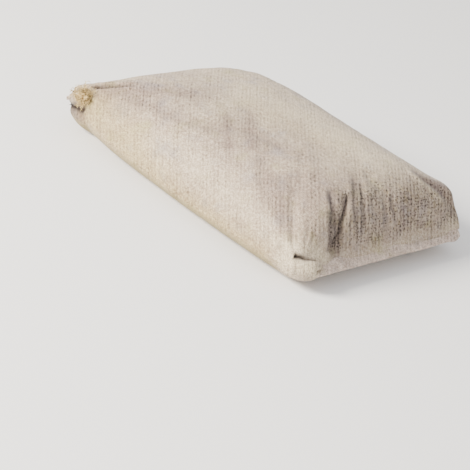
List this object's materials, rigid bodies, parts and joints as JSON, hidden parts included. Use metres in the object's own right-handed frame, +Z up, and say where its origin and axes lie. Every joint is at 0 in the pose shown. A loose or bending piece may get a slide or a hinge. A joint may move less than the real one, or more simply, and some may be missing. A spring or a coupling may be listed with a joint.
{
  "type": "bag of quartz sand",
  "caption": "Sewn cotton sack filled with quartz sand, lying flat, with a folded strip sewn over each end; raw stock for mortar, filtering or weighting.",
  "frame": {"origin": "middle of the flat underside, on the floor", "axes": "+X along the sack towards its mouth, +Y across it towards the back, +Z up"},
  "size_m": [0.5318, 0.358, 0.1195],
  "materials": {
    "cotton_cloth": "natural unbleached cotton cloth, plain weave, matt",
    "cotton_tape": "folded cotton strip, plain weave, matt",
    "sewing_thread": "tan twisted cotton thread, frayed at its end"
  },
  "bodies": {
    "root": {"filled_sack": "cotton_cloth", "mouth_band": "cotton_tape", "base_band": "cotton_tape", "mouth_stitching": "sewing_thread", "base_stitching": "sewing_thread", "thread_knot": "sewing_thread"}
  },
  "joints": []
}
